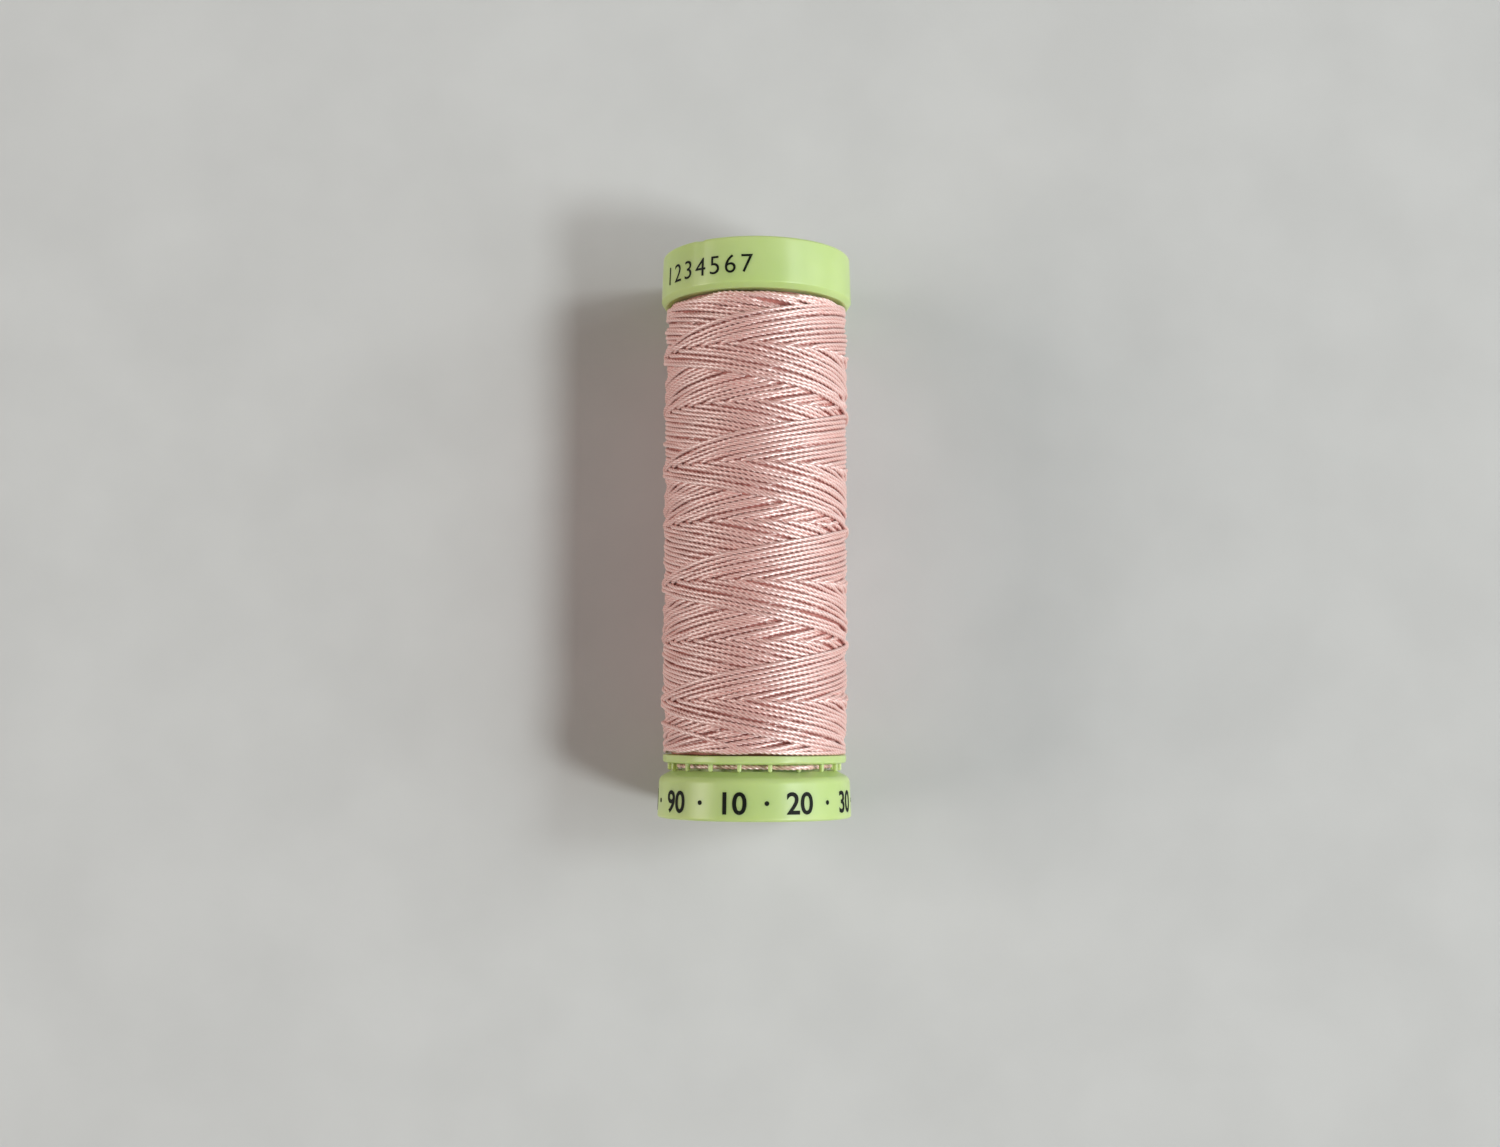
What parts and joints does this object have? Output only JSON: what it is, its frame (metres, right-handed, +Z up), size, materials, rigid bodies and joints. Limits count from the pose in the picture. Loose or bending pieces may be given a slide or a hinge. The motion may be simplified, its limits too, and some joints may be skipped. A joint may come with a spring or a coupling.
{
  "type": "spool of sewing thread",
  "caption": "Small moulded spool wound with twisted sewing thread, lying on its side, with a thick top cap and a base cap that snaps out to free the thread end.",
  "frame": {"origin": "on the table, under the middle of the spool lying on its side", "axes": "+Y along the spool's axis from the base cap to the top cap, +Z up"},
  "size_m": [0.0196, 0.057, 0.0195],
  "materials": {
    "green_plastic": "pale green moulded plastic, slightly translucent, soft gloss",
    "pink_thread": "pale pink twisted polyester thread with a silky gloss",
    "label_paper": "smooth off-white label paper"
  },
  "bodies": {
    "spool": {"spool_core": "green_plastic", "top_cap": "green_plastic", "top_label": "label_paper", "thread_package": "pink_thread", "thread_winding": "pink_thread", "thread_tail": "pink_thread"},
    "base": {"snap_cap": "green_plastic", "base_label": "label_paper"}
  },
  "joints": [
    {"name": "base_snap", "type": "slide", "parent": "spool", "child": "base", "axis": [0, -1, 0], "range_m": [0, 0.0018]}
  ]
}
